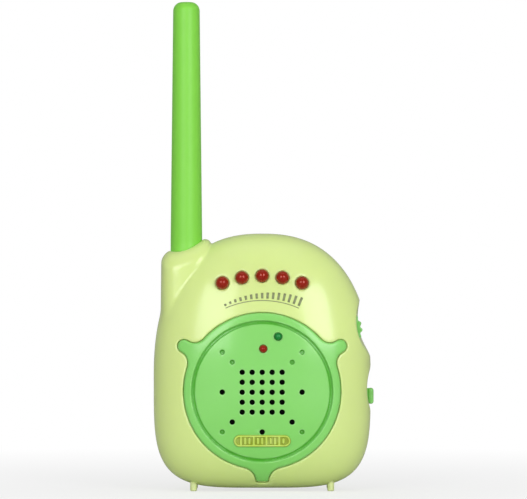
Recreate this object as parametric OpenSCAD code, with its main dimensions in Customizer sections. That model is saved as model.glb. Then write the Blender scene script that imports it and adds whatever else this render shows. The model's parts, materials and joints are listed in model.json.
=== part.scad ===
// Toy walkie talkie, receiver unit: a rounded two-part casing with a stub antenna,
// a speaker cover with three lugs, five level lamps, a volume wheel and a slide switch.
// +X is to the unit's right as seen from its front, +Y points out of its back, +Z is up.
// The origin is on the table, midway between the feet in X, at the plane where the shells meet.

/* [Casing] */
// Width of the casing at its widest
body_w = 82.5; // [81:0.5:84]
// Height of the casing's crown above the table
crown_z = 97.7; // [96:0.1:99]
// Height of the casing's widest point above the table
belt_z = 43; // [42:0.5:44]
// Gap between the casing's underside and the table
keel_z = 1.1; // [0.8:0.1:1.5]
// Depth of the domed front, from the parting plane
front_d = 20; // [19.5:0.1:20.5]
// Depth of the flat back, from the parting plane
back_d = 22; // [21.8:0.1:22.4]
// Wall of both shells
wall = 2; // [1.8:0.1:2.2]

/* [Antenna] */
// Height of the antenna's tip above the table
antenna_z = 185.6; // [170:1:190]
// Radius of the antenna where it leaves its socket
antenna_r = 6; // [5.6:0.1:6]
// Radius of the antenna near its tip
antenna_tip_r = 5.05; // [4.6:0.05:5.2]

/* [Speaker cover] */
// Height of the cover's centre above the table
cover_z = 38.2; // [38:0.1:38.5]
// Radius of the cover's ring
cover_r = 29.6; // [29.2:0.1:29.8]
// Spacing of the sound holes
hole_pitch = 3.75; // [3.6:0.05:3.9]
// Radius of the sound holes
hole_r = 0.95; // [0.7:0.05:1]

/* [Controls] */
// Radius of the volume wheel over its teeth
wheel_r = 8; // [7.6:0.1:8.1]
// Number of teeth on the volume wheel
wheel_teeth = 18; // [14:1:22]
// How far the slide knob travels
knob_travel = 4; // [3:0.5:4]

/* [Hidden] */
$fn = 48;

// Colours
pale_green = [0.85, 0.92, 0.60];
leaf_green = [0.47, 0.83, 0.36];
antenna_green = [0.47, 0.84, 0.27];
lime_badge = [0.72, 0.83, 0.30];
foot_green = [0.87, 0.92, 0.66];
lamp_red = [0.62, 0.08, 0.03];
lamp_green = [0.05, 0.50, 0.18];
board_brown = [0.66, 0.50, 0.27];
steel = [0.75, 0.76, 0.78];
brass = [0.80, 0.66, 0.32];
black = [0.07, 0.07, 0.08];
cone_grey = [0.28, 0.28, 0.30];

// Casing form: the outline is two half superellipses, and each side swells as a superellipse.
crown_n = 2.4;
keel_n = 4.2;
front_n = 2.4;
back_n = 3.5;
back_bulge = back_d / 0.788;
nose_flat = 0.9995;
grid_step = 0.05;
outline_steps = 46;
dome_rings = 6;
cover_steps = 50;
fillet_steps = 22;
lamp_steps = 22;

// Antenna socket column
socket_x = -28.8;
socket_low_r = 10;
socket_r = 9.5;
socket_edge = 3.4;
socket_n = 3;
socket_deepen = 0.8;
socket_low_z = 46;
socket_top_z = 93.35;
socket_slope = 0.34;
socket_crown = 0.045;
socket_chamber_r = 7.8;
socket_chamber_z = 80.6;
antenna_gap = 0.15;
flange_r = 7.5;
flange_z = 78;
flange_h = 2.4;
ferrule_r = 3.6;
ferrule_top_z = 86;
coil_turns = 10;
coil_pitch = 3;
coil_r = 2.8;
coil_wire_r = 0.4;

// Side dishes for the wheel and the slide knob
wheel_dish = [53.5, -3, 64.6];
knob_dish = [60.3, -2, 38.9];
wheel_dish_r = 18;
knob_dish_r = 20.6;
wheel_dish_stretch = 3;
knob_dish_stretch = 3.5;

// Speaker cover
ring_proud = 0.4;
seat_depth = 1.2;
disc_recess = 0.3;
disc_rear = 1.7;
step_r = 26.6;
opening_r = 26;
seat_flange = 2.6;
lug_r = 2.3;
lug_reach = 34;
low_lug_reach = 32.4;
lug_fillet = 3.5;
cover_gap = 0.15;
stake_r = 1.2;
grid_z = cover_z - 0.5;
badge_z = cover_z - 18.6;
badge_w = 21.6;
badge_h = 4.6;
badge_t = 0.5;

// Lamps
level_arc_r = 43.5;
level_step = 10.1;
lamp_r = 2.5;
lamp_length = 8.6;
lamp_tip_y = -18.7;
small_lamp_r = 1.5;
small_lamp_length = 5.3;
small_lamp_tip_y = -20.9;
link_at = [0.4, cover_z + 16.1];
power_at = [6, cover_z + 20.7];

// Speaker
speaker_z = 34.1;
speaker_r = 17.8;
rim_y = -14.8;
rim_t = 1.4;
clamp_angles = [-8, 188, 125];
clamp_reach = 20.9;

// Board and screws
board_t = 1.6;
case_screw_at = [[-32.5, 20], [32.5, 20], [-18.5, 85], [18.5, 85]];
board_screw_at = [[-24, 16], [24, 16], [-22, 68], [18, 70]];
clip_screw_at = [[-5.5, 82], [5.5, 82]];
post_floor_y = 5;
post_face_y = 2.6;

// Controls
wheel_at = [30.2, 61];
wheel_y = 2.2;
wheel_t = 3;
tooth_depth = 0.45;
shaft_r = 1.5;
knob_z = 35.9;
knob_y = 3;
knob_h = 6.1;
knob_w = 3.5;

// Battery bay and door
bay_w = 52;
bay_low = 16;
bay_high = 45;
bay_wall = 1.2;
bay_floor_y = 2.6;
door_w = 54;
door_low = 14.4;
door_high = 46;
door_t = 1.8;
door_gap = 0.2;
pivot_z = 15.3;
pivot_r = 0.5;
battery_size = [46.4, 17.5, 26.5];

// Power inlet
jack_z = 38;
jack_y = 4.9;

// Feet, in two pairs about the origin
foot_x = 26;
foot_ys = [-4, 14];
foot_r = 1.3;
foot_h = 7.5;

// ---------- Casing form ----------

// Polar radius of the casing's outline about (0, belt_z), at angle t from +X.
function outline_r(t, inset) =
    let (
        up = sin(t) >= 0,
        n = up ? crown_n : keel_n,
        a = body_w / 2 - inset,
        b = (up ? crown_z - belt_z : belt_z - keel_z) - inset
    )
    pow(pow(abs(cos(t)) / a, n) + pow(abs(sin(t)) / b, n), -1 / n);

function outline_points(inset) =
    [for (i = [0:outline_steps - 1]) let (t = 360 * i / outline_steps)
        outline_r(t, inset) * [cos(t), sin(t)]];

// Share of the outline that the point (x, z) reaches, 0 at the centre and 1 on the outline.
function reach(x, z, inset) =
    let (t = atan2(z - belt_z, x)) norm([x, z - belt_z]) / outline_r(t, inset);

// Depth of the domed front at (x, z), as a positive distance from the parting plane.
function dome_depth(x, z, inset) =
    (front_d - inset) * pow(1 - pow(reach(x, z, inset), front_n), 1 / front_n);

// A point moved to the nearest step of the moulding grid.
function snap(p) = [for (c = p) round(c / grid_step) * grid_step];

// Closed skin over rings of equal point count, with a flat cap at each end.
module skin(rings) {
    n = len(rings[0]);
    last = len(rings) - 1;
    sides = [for (j = [0:last - 1], i = [0:n - 1])
        let (a = j * n + i, b = j * n + (i + 1) % n)
        each [[a, b, b + n], [a, b + n, a + n]]];
    polyhedron(
        points = [for (ring = rings, p = ring) snap(p)],
        faces = concat(
            [[for (i = [n - 1:-1:0]) i]],
            sides,
            [[for (i = [0:n - 1]) last * n + i]]
        ),
        convexity = 6
    );
}

// One side of the casing: it swells from the parting plane towards +Y and ends in a flat.
module pillow(depth, n, flat, inset) {
    outline = outline_points(inset);
    end = asin(pow(flat / depth, n / 2));
    skin([for (j = [0:dome_rings])
        let (p = end * j / dome_rings, s = pow(cos(p), 2 / n), y = depth * pow(sin(p), 2 / n))
        [for (q = outline) [s * q[0], y, belt_z + s * q[1]]]]);
}

module front_pillow(inset = 0)
    mirror([0, 1, 0])
        pillow(front_d - inset, front_n, (front_d - inset) * nose_flat, inset);

module rear_pillow(inset = 0)
    pillow(back_bulge - inset, back_n, back_d - inset, inset);

// The antenna's column: a tapered post with a rounded, sloping top.
function socket_top(x, y) = socket_top_z + socket_slope * x - socket_crown * y * y;

// A point of its squarish section, r to the side and a little more to the front and back.
function column_at(r, t) = [
    r * sign(cos(t)) * pow(abs(cos(t)), 2 / socket_n),
    (r + socket_deepen) * sign(sin(t)) * pow(abs(sin(t)), 2 / socket_n)
];

module socket_column() {
    edge_steps = 6;
    edge_rings = [for (k = [0:edge_steps]) let (p = 90 * k / edge_steps)
        [socket_r - socket_edge * (1 - cos(p)), socket_edge * (1 - sin(p))]];
    rings = concat(edge_rings, [[2.5, 0]]);
    translate([socket_x, 0, 0])
        skin(concat(
            [[for (i = [0:outline_steps - 1])
                let (q = column_at(socket_low_r, -360 * i / outline_steps))
                [q[0], q[1], socket_low_z]]],
            [for (ring = rings)
                [for (i = [0:outline_steps - 1])
                    let (q = column_at(ring[0], -360 * i / outline_steps))
                    [q[0], q[1], socket_top(q[0], q[1]) - ring[1]]]]
        ));
}

module outline(inset) translate([0, belt_z]) polygon(outline_points(inset));

// A 2D shape in X and Z, made solid from y0 to y1.
module across(y0, y1)
    translate([0, y1, 0]) rotate([90, 0, 0]) linear_extrude(height = y1 - y0) children();

// A cylinder along +Y, standing at (x, z) from y0 to y1.
module rod(x, z, r, y0, y1)
    translate([x, y0, z]) rotate([-90, 0, 0]) cylinder(r = r, h = y1 - y0);

module side_dishes(extra = 0) {
    translate(wheel_dish) scale([1, wheel_dish_stretch, 1])
        sphere(r = wheel_dish_r + extra, $fn = 48);
    translate(knob_dish) scale([1, knob_dish_stretch, 1])
        sphere(r = knob_dish_r + extra, $fn = 48);
}

module casing_cavity() {
    difference() {
        union() {
            front_pillow(wall);
            rear_pillow(wall);
        }
        side_dishes(wall);
    }
    translate([socket_x, 0, socket_low_z + 6])
        cylinder(r = socket_chamber_r, h = socket_chamber_z - socket_low_z - 6);
}

module antenna_bore()
    translate([socket_x, 0, socket_chamber_z - 1])
        cylinder(r = antenna_r + antenna_gap, h = 30);

module foot_holes()
    for (x = [-foot_x, foot_x], y = foot_ys)
        translate([x, y, -1]) cylinder(r = foot_r + 0.05, h = foot_h + 1.1, $fn = 24);

module foot_sockets()
    for (x = [-foot_x, foot_x], y = foot_ys)
        translate([x, y, 1]) cylinder(r = foot_r + 1.4, h = foot_h, $fn = 24);

// Half of the shelf under the antenna's ferrule, split clear of the lead.
module ferrule_shelf(y)
    translate([socket_x, 0, flange_z - 3.6])
        intersection() {
            cylinder(r = socket_chamber_r + 0.8, h = 1.5, $fn = 32);
            translate([-9, y, 0]) cube([18, 8, 1.5]);
        }

// ---------- Speaker cover outline ----------

module lug(angle, reach_r)
    rotate(angle) hull() {
        translate([reach_r, 0]) circle(r = lug_r, $fn = 20);
        translate([cover_r - 3, 0]) circle(r = lug_r + 0.5, $fn = 20);
    }

module low_lug()
    rotate(270) hull() {
        for (side = [-1, 1])
            translate([low_lug_reach + 1.3, side * 1.35]) circle(r = 0.9, $fn = 16);
        translate([cover_r - 3, 0]) circle(r = lug_r + 1.1, $fn = 20);
    }

module cover_outline(grow = 0)
    translate([0, cover_z]) offset(r = grow) offset(r = -lug_fillet, $fn = fillet_steps)
        offset(r = lug_fillet, $fn = fillet_steps) {
            circle(r = cover_r, $fn = cover_steps);
            lug(30, lug_reach);
            lug(150, lug_reach);
            low_lug();
        }

function lug_at(angle, r) = [r * cos(angle), cover_z + r * sin(angle)];
lug_stakes = [lug_at(30, lug_reach - 0.8), lug_at(150, lug_reach - 0.8), lug_at(270, low_lug_reach - 1)];

// ---------- Shells ----------

module front_bosses() {
    for (p = case_screw_at) rod(p[0], p[1], 3, -front_d, post_face_y - 0.1, $fn = 24);
    for (p = board_screw_at) rod(p[0], p[1], 2.4, -front_d, -board_t, $fn = 24);
}

module front_boss_bores() {
    for (p = case_screw_at) rod(p[0], p[1], 1.35, -9, post_face_y + 1, $fn = 20);
    for (p = board_screw_at) rod(p[0], p[1], 1.05, -9.5, 0, $fn = 20);
}

module front_shell() color(pale_green)
    resize([0, 0, 0]) difference() {
        union() {
            difference() {
                union() {
                    front_pillow();
                    intersection() {
                        socket_column();
                        translate([-60, -40, 0]) cube([60, 40, 120]);
                    }
                }
                difference() {
                    casing_cavity();
                    difference() {
                        across(-front_d - 2, -5) cover_outline(2.4);
                        front_pillow(seat_flange);
                    }
                }
                side_dishes();
            }
            intersection() {
                union() {
                    front_bosses();
                    foot_sockets();
                }
                front_pillow(1);
            }
            ferrule_shelf(-9.6);
            intersection() {
                front_bosses();
                across(-1, post_face_y) outline(wall + 0.4);
            }
        }
        // seat of the speaker cover, and the opening behind it
        difference() {
            across(-front_d - 2, -2) cover_outline(cover_gap);
            front_pillow(seat_depth);
        }
        rod(0, cover_z, opening_r, -front_d - 2, -5, $fn = cover_steps);
        for (p = lug_stakes) rod(p[0], p[1], stake_r + 0.15, -front_d - 2, -4, $fn = 20);
        for (k = [-2:2]) {
            p = lamp_at(k);
            rod(p[0], p[1], lamp_r + 0.15, -front_d - 2, -5, $fn = lamp_steps);
        }
        // groove for the rear shell's tongue
        difference() {
            across(-1.6, 0.5) difference() { outline(0.95); outline(wall + 3); }
            translate([socket_x, 0, 0]) cylinder(r = socket_low_r + 0.2, h = 120);
            side_dishes(wall + 0.2);
            front_bosses();
        }
        front_boss_bores();
        antenna_bore();
        foot_holes();
    }

module rear_posts() {
    for (p = case_screw_at) rod(p[0], p[1], 3.6, post_face_y, back_d, $fn = 24);
    for (p = clip_screw_at) rod(p[0], p[1], 2.6, 15, back_d, $fn = 24);
}

module rear_post_bores() {
    for (p = case_screw_at) {
        rod(p[0], p[1], 2.7, post_floor_y, back_d + 1, $fn = 24);
        rod(p[0], p[1], 1.5, post_face_y - 1, post_floor_y + 1, $fn = 20);
    }
    for (p = clip_screw_at) rod(p[0], p[1], 1.3, 14, back_d + 1, $fn = 20);
}

module bay_block()
    translate([-bay_w / 2 - bay_wall, bay_floor_y - bay_wall, bay_low - bay_wall])
        cube([bay_w + 2 * bay_wall, back_d - bay_floor_y + bay_wall - 0.5,
              bay_high - bay_low + 2 * bay_wall]);

module bay_space()
    translate([-bay_w / 2, bay_floor_y, bay_low])
        cube([bay_w, back_d, bay_high - bay_low]);

module door_opening()
    translate([-door_w / 2 - door_gap, back_d - door_t - 0.05, door_low - door_gap])
        cube([door_w + 2 * door_gap, door_t + 2, door_high - door_low + 2 * door_gap]);

module rear_shell() color(pale_green)
    resize([0, 0, 0]) difference() {
        union() {
            difference() {
                union() {
                    rear_pillow();
                    intersection() {
                        socket_column();
                        translate([-60, 0, 0]) cube([60, 40, 120]);
                    }
                }
                casing_cavity();
                side_dishes();
            }
            intersection() {
                union() {
                    rear_posts();
                    bay_block();
                    foot_sockets();
                }
                rear_pillow(0.5);
            }
            ferrule_shelf(1.6);
            // tongue that locates the front shell
            difference() {
                across(-1.4, 0.6) difference() { outline(1.05); outline(wall + 0.05); }
                translate([socket_x, 0, 0]) cylinder(r = socket_low_r + 0.4, h = 120);
                side_dishes(wall + 0.4);
            }
        }
        bay_space();
        door_opening();
        rear_post_bores();
        antenna_bore();
        foot_holes();
        // door pivots, battery lead holes, thumb notch
        translate([-door_w / 2 - 1.6, back_d - door_t / 2, pivot_z]) rotate([0, 90, 0])
            cylinder(r = pivot_r + 0.1, h = door_w + 3.2, $fn = 24);
        for (z = [28, 34]) rod(23.6, z, 0.9, 0, bay_floor_y + 1, $fn = 20);
        translate([0, back_d + 4.6, door_high + 0.5]) sphere(r = 6, $fn = 28);
        // wheel slot, knob slot and power inlet
        translate([24, wheel_y - 0.35, wheel_at[1] - wheel_r - 0.5])
            cube([20, wheel_t + 0.7, 2 * wheel_r + 1]);
        translate([34, knob_y - 1.35, knob_z - knob_h / 2 - 0.2])
            cube([10, 2.7, knob_h + knob_travel + 0.4]);
        translate([39.9, knob_y - knob_w / 2 - 0.25, knob_z - knob_h / 2 - 0.3])
            cube([5, knob_w + 0.5, knob_h + knob_travel + 0.6]);
        translate([-body_w, jack_y, jack_z]) rotate([0, 90, 0])
            cylinder(r = 3.9, h = body_w / 2 + 5, $fn = 40);
    }

// ---------- Speaker cover, badge and lamps ----------

function grid_hole(i, j) = [i * hole_pitch, grid_z + j * hole_pitch];
outer_holes = [grid_hole(-4, 0), grid_hole(4, 0), grid_hole(-3, -3), grid_hole(3, -3), grid_hole(0, -4)];
dimples = [grid_hole(-4, 4), grid_hole(4, 4), grid_hole(-3, 3), grid_hole(3, 3),
           grid_hole(-4, -4), grid_hole(4, -4)];
clamp_at = [for (a = clamp_angles) [clamp_reach * cos(a), speaker_z + clamp_reach * sin(a)]];

module speaker_cover() color(leaf_green)
    resize([0, 0, 0]) difference() {
        union() {
            difference() {
                intersection() {
                    across(-front_d - 2, -2) cover_outline();
                    front_pillow(-ring_proud);
                }
                difference() {
                    front_pillow(seat_depth - 0.03);
                    rod(0, cover_z, opening_r - cover_gap, -front_d, 2, $fn = cover_steps);
                }
                front_pillow(disc_rear);
                difference() {
                    rod(0, cover_z, step_r, -front_d - 2, 2, $fn = cover_steps);
                    front_pillow(disc_recess);
                }
            }
            // wall that locates the speaker, and the clamp bosses
            intersection() {
                front_pillow(disc_recess + 0.4);
                union() {
                    difference() {
                        rod(0, speaker_z, speaker_r + 1.6, -front_d, rim_y + rim_t, $fn = cover_steps);
                        rod(0, speaker_z, speaker_r + 0.3, -front_d - 1, 0, $fn = cover_steps);
                    }
                    for (p = clamp_at) rod(p[0], p[1], 1.9, -front_d, rim_y + rim_t, $fn = 20);
                }
            }
            // heat-formed stakes at the lugs
            for (p = lug_stakes) {
                y = -dome_depth(p[0], p[1], seat_flange);
                rod(p[0], p[1], stake_r, y - 1.8, y + 2.6, $fn = 20);
                intersection() {
                    rod(p[0], p[1], stake_r + 0.7, y + 1.7, y + 2.6, $fn = 20);
                    front_pillow(seat_flange + 0.05);
                }
            }
        }
        rod(0, speaker_z, speaker_r + 0.3, rim_y - 0.5, 0, $fn = cover_steps);
        for (i = [-2:2], j = [-2:2]) {
            p = grid_hole(i, j);
            rod(p[0], p[1], hole_r, -front_d - 2, 0, $fn = 10);
        }
        for (p = outer_holes) rod(p[0], p[1], hole_r, -front_d - 2, 0, $fn = 10);
        for (p = dimples) {
            y = -dome_depth(p[0], p[1], disc_recess);
            rod(p[0], p[1], hole_r, y - 3, y + 0.6, $fn = 10);
        }
        for (p = clamp_at) rod(p[0], p[1], 0.95, rim_y - 1, 0, $fn = 16);
        for (p = [link_at, power_at]) {
            rod(p[0], p[1], small_lamp_r + 0.1, -front_d - 2, 0, $fn = 24);
            rod(p[0], p[1], small_lamp_r + 0.6, -17.2, 0, $fn = 24);
        }
    }

module pill(w, h) hull() for (x = [-1, 1]) translate([x * (w - h) / 2, 0]) circle(d = h, $fn = 28);

module cover_badge() color(lime_badge)
    resize([0, 0, 0]) difference() {
        intersection() {
            across(-front_d - 2, -5) translate([0, badge_z]) pill(badge_w, badge_h);
            front_pillow(disc_recess - badge_t);
        }
        front_pillow(disc_recess - 0.02);
    }

function lamp_at(k) =
    [level_arc_r * sin(k * level_step), cover_z + level_arc_r * cos(k * level_step)];

// A lamp with its domed tip at tip_y, and its collar at the other end.
module lamp(at, r, length, tip_y)
    translate([at[0], tip_y, at[1]]) rotate([-90, 0, 0]) {
        translate([0, 0, r]) {
            intersection() {
                sphere(r = r);
                translate([-r, -r, -r]) cube([2 * r, 2 * r, r]);
            }
            cylinder(r = r, h = length - r);
        }
        translate([0, 0, length - 1]) cylinder(r = r + 0.4, h = 1);
    }

module level_led(k) color(lamp_red) lamp(lamp_at(k), lamp_r, lamp_length, lamp_tip_y);
module power_led() color(lamp_green) lamp(power_at, small_lamp_r, small_lamp_length, small_lamp_tip_y);
module link_led() color(lamp_red) lamp(link_at, small_lamp_r, small_lamp_length, small_lamp_tip_y);

module led_legs() color(steel) {
    for (k = [-2:2], side = [-1.27, 1.27]) {
        p = lamp_at(k);
        rod(p[0] + side, p[1], 0.25, lamp_tip_y + lamp_length + 0.01, -board_t - 0.01);
    }
    for (p = [link_at, power_at], side = [-1, 1])
        rod(p[0] + side, p[1], 0.25, small_lamp_tip_y + small_lamp_length + 0.01, -board_t - 0.01);
}

// ---------- Antenna ----------

module antenna_sleeve() color(antenna_green)
    translate([socket_x, 0, 0]) rotate_extrude()
        difference() {
            union() {
                polygon([
                    [0, flange_z + flange_h - 0.4], [antenna_r, flange_z + flange_h - 0.4],
                    [antenna_r, socket_top_z + 2], [antenna_tip_r, antenna_z - 7],
                    [antenna_tip_r - 0.7, antenna_z - 2.6], [antenna_tip_r - 2.1, antenna_z - 0.5],
                    [antenna_tip_r - 3.2, antenna_z], [0, antenna_z]
                ]);
                translate([0, flange_z]) square([flange_r, flange_h]);
            }
            translate([-1, flange_z - 1]) square([ferrule_r + 1.05, ferrule_top_z - flange_z + 34]);
            translate([-1, flange_z]) square([2, antenna_z - flange_z - 7]);
        }

// Aerial wire: a coil on the ferrule, then a straight whip.
module antenna_coil() color(steel)
    translate([socket_x, 0, 0]) {
        low = ferrule_top_z + coil_wire_r + 0.1;
        steps = 12;
        sides = 5;
        count = coil_turns * steps;
        top = low + coil_turns * coil_pitch;
        skin([for (i = [0:count])
            let (a = 360 * i / steps, d = [cos(a), sin(a)], z = low + coil_pitch * i / steps)
            [for (s = [0:sides - 1]) let (q = 360 * s / sides, r = coil_r + coil_wire_r * cos(q))
                [r * d[0], r * d[1], z + coil_wire_r * sin(q)]]]);
        translate([0, 0, top]) rotate([0, 90, 0])
            cylinder(r = coil_wire_r * 0.8, h = coil_r, $fn = 16);
        translate([0, 0, top - 0.2]) cylinder(r = 0.6, h = antenna_z - 9 - top, $fn = 16);
    }

module antenna_ferrule() color(brass)
    translate([socket_x, 0, flange_z - 2]) {
        cylinder(r = ferrule_r, h = ferrule_top_z - flange_z + 2);
        cylinder(r = ferrule_r + 1.2, h = 1.9);
    }

module antenna_lead() color(black)
    translate([socket_x + 1.6, 0.7, 69]) cylinder(r = 0.6, h = flange_z - 2 - 69 - 0.02);

// ---------- Speaker ----------

module about_speaker() translate([0, 0, speaker_z]) rotate([-90, 0, 0]) rotate_extrude() children();

module speaker_frame() color(steel) about_speaker()
    polygon([
        [speaker_r - 1.6, rim_y], [speaker_r, rim_y], [speaker_r, rim_y + rim_t],
        [speaker_r - 1.2, rim_y + rim_t], [12, -9.2], [4.5, -9.2], [4.5, -9.8], [11.6, -9.8],
        [speaker_r - 1.8, rim_y + rim_t - 0.4]
    ]);

module speaker_cone() color(cone_grey) about_speaker()
    polygon([
        [0, -13.4], [3.4, -12.8], [4.2, -11.5], [14.2, -13.9], [15, -14.4], [15.7, -13.9],
        [15.7, -13.7], [15, -14.1], [14.2, -13.6], [4.2, -11], [0, -12.9]
    ]);

module speaker_magnet() color(black) about_speaker()
    polygon([[0, -10.9], [4.3, -10.9], [4.3, -9.1], [9.2, -9.1], [9.2, -6.2], [0, -6.2]]);

module dust_screen() color(black)
    rod(0, speaker_z, speaker_r - 0.5, rim_y - 0.35, rim_y - 0.05);

module speaker_clamps() color(steel)
    for (i = [0:2]) {
        a = clamp_angles[i];
        translate([0, rim_y + rim_t + 0.02, speaker_z]) rotate([0, -a, 0])
            difference() {
                translate([speaker_r - 1.2, 0, -2.6]) cube([6.2, 0.8, 5.2]);
                rod(clamp_reach, 0, 1, -1, 2);
            }
    }

module pan_screw(at, head_r, head_t, shaft_r, seat_y, tip_y)
    difference() {
        union() {
            rod(at[0], at[1], head_r, seat_y, seat_y + head_t);
            rod(at[0], at[1], shaft_r, tip_y, seat_y + 0.1);
        }
        for (a = [0, 90])
            translate([at[0], seat_y + head_t, at[1]]) rotate([0, a, 0])
                cube([head_r * 1.1, head_t, head_r * 0.28], center = true);
    }

module speaker_screws() color(steel)
    for (p = clamp_at) pan_screw(p, 1.8, 1.1, 0.85, rim_y + rim_t + 0.84, rim_y - 0.6);

module speaker_leads() color(black)
    for (x = [-4, 4]) rod(x, speaker_z + 11, 0.5, -9.1, -board_t - 0.02);

// ---------- Board ----------

module board_outline() {
    translate([-28.6, 13]) square([57.2, 61]);
    translate([-17.4, 70]) square([34.8, 10]);
    translate([-13, 78]) square([26, 6]);
    translate([20, 30]) square([13.6, 12]);
    translate([20, 55]) square([13.2, 12]);
    translate([-33.6, 32]) square([13.6, 12]);
}

module main_board() color(board_brown)
    difference() {
        across(-board_t, 0) board_outline();
        for (p = board_screw_at) rod(p[0], p[1], 1.25, -board_t - 1, 1);
    }

module board_screws() color(steel)
    for (p = board_screw_at) pan_screw(p, 2, 1.2, 0.95, 0.02, -7.5);

module chip(x, z, w, h)
    difference() {
        translate([x - w / 2, 0.05, z - h / 2]) cube([w, 3.3, h]);
        rod(x - w / 2, z, 0.9, 2.9, 4);
    }

module audio_chip() color(black) chip(-12, 64, 9.6, 6.4);
module radio_chip() color(black) chip(3, 52.5, 19.4, 6.4);

module crystal() color(steel)
    hull() for (x = [5, 11]) rod(x, 62, 2.2, 0.05, 3.6);

module capacitors() color([0.16, 0.20, 0.42]) {
    rod(-20, 54, 3.2, 0.05, 9);
    rod(-12.5, 54, 2.5, 0.05, 7);
    rod(-2, 70, 3.2, 0.05, 9);
    rod(13.5, 76, 2.5, 0.05, 7);
}

module tuning_coils() color(steel)
    for (p = [[-24, 62], [10, 69]])
        difference() {
            translate([p[0] - 3.6, 0.05, p[1] - 3.6]) cube([7.2, 8, 7.2]);
            rod(p[0], p[1], 2, 5, 9);
        }

// ---------- Controls ----------

function wheel_edge(t) = wheel_r - tooth_depth / 2 * (1 - cos(wheel_teeth * t));

module wheel_outline()
    polygon([for (i = [0:8 * wheel_teeth - 1]) let (t = 360 * i / (8 * wheel_teeth))
        wheel_edge(t) * [cos(t), sin(t)]]);

module volume_wheel() color(leaf_green)
    translate([wheel_at[0], 0, wheel_at[1]])
        difference() {
            across(wheel_y, wheel_y + wheel_t) wheel_outline();
            rod(0, 0, shaft_r + 0.04, 0, 10);
            rod(0, 0, 5, wheel_y + wheel_t - 0.9, 10);
        }

module wheel_screw() color(steel)
    pan_screw(wheel_at, 2.3, 1.1, 0.7, wheel_y + wheel_t - 0.88, wheel_y + 0.2);

module pot_shaft() color(steel)
    difference() {
        rod(wheel_at[0], wheel_at[1], shaft_r, 1.2, wheel_y + wheel_t - 0.92);
        rod(wheel_at[0], wheel_at[1], 0.74, wheel_y - 0.3, 10);
    }

module volume_pot() color(black)
    difference() {
        translate([wheel_at[0] - 3.5, 0.03, wheel_at[1] - 3.5]) cube([6.6, 1.9, 7]);
        rod(wheel_at[0], wheel_at[1], shaft_r + 0.05, 1.1, 10);
    }

module slide_knob() color(leaf_green)
    difference() {
        union() {
            // cap outside, stem through the slot, dust plate inside
            translate([40.2, knob_y, knob_z]) rotate([0, 90, 0]) linear_extrude(height = 2.2)
                hull() for (x = [-1, 1], y = [-1, 1])
                    translate([x * (knob_h / 2 - 1), y * (knob_w / 2 - 1)]) circle(r = 1, $fn = 24);
            translate([37.5, knob_y - 1.1, knob_z - knob_h / 2 + 0.1]) cube([2.8, 2.2, knob_h - 0.2]);
            translate([36.7, knob_y - 2.4, knob_z - 7.4]) cube([0.9, 4.8, 14.8]);
        }
        translate([36.5, knob_y - 1.1, knob_z - 1.1]) cube([2, 2.2, 2.2]);
    }

module switch_lever() color(black)
    translate([33.3, knob_y - 1, knob_z - 1]) cube([5, 2, 2]);

module slide_switch() color(steel)
    difference() {
        translate([29.2, 0.05, knob_z + knob_travel / 2 - 4.7]) cube([4.4, 5.5, 9.4]);
        translate([32.8, knob_y - 1.2, knob_z - 1.2]) cube([2, 2.4, knob_travel + 2.4]);
    }

// ---------- Battery, door and power inlet ----------

module battery_door() color(pale_green)
    difference() {
        union() {
            translate([-door_w / 2, back_d - door_t, pivot_z])
                cube([door_w, door_t, door_high - pivot_z]);
            translate([-door_w / 2, back_d - door_t / 2, pivot_z]) rotate([0, 90, 0])
                cylinder(r = door_t / 2, h = door_w);
            translate([-door_w / 2 - 1.4, back_d - door_t / 2, pivot_z]) rotate([0, 90, 0])
                cylinder(r = pivot_r, h = door_w + 2.8);
        }
        // finger grooves
        for (k = [0:4]) translate([-9, back_d, 33 + 2 * k]) rotate([0, 90, 0]) cylinder(r = 0.5, h = 18);
    }

module battery() color([0.18, 0.20, 0.24]) {
    x0 = -bay_w / 2 + 0.5;
    z0 = (bay_low + bay_high - battery_size[2]) / 2;
    translate([x0, bay_floor_y + 0.05, z0]) cube(battery_size);
    for (s = [[6.5, 2.9], [-6.5, 3.9]])
        translate([x0 + battery_size[0] - 0.1, bay_floor_y + 8.8, z0 + battery_size[2] / 2 + s[0]])
            rotate([0, 90, 0]) cylinder(r = s[1], h = 2.1);
}

module battery_snap() color(black) {
    x0 = -bay_w / 2 + 0.5 + battery_size[0];
    zc = (bay_low + bay_high) / 2;
    difference() {
        translate([x0 + 0.1, bay_floor_y + 0.6, zc - 12.8]) cube([4.6, 16.2, 25.6]);
        for (s = [[6.5, 3.1], [-6.5, 4.1]])
            translate([x0, bay_floor_y + 8.8, zc + s[0]]) rotate([0, 90, 0]) cylinder(r = s[1], h = 2.4);
    }
}

module battery_leads() color([0.70, 0.08, 0.06])
    for (z = [28, 34]) rod(23.6, z, 0.6, 0.02, bay_floor_y + 0.58);

module dc_jack() color(black)
    difference() {
        translate([-38.4, 0.05, jack_z - 4.6]) cube([10.4, 9.6, 9.2]);
        translate([-39, jack_y, jack_z]) rotate([0, 90, 0]) cylinder(r = 3, h = 9);
    }

module dc_pin() color(brass)
    translate([-37.2, jack_y, jack_z]) rotate([0, 90, 0]) cylinder(r = 1, h = 7.19);

// ---------- Belt clip, feet and screws ----------

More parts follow.
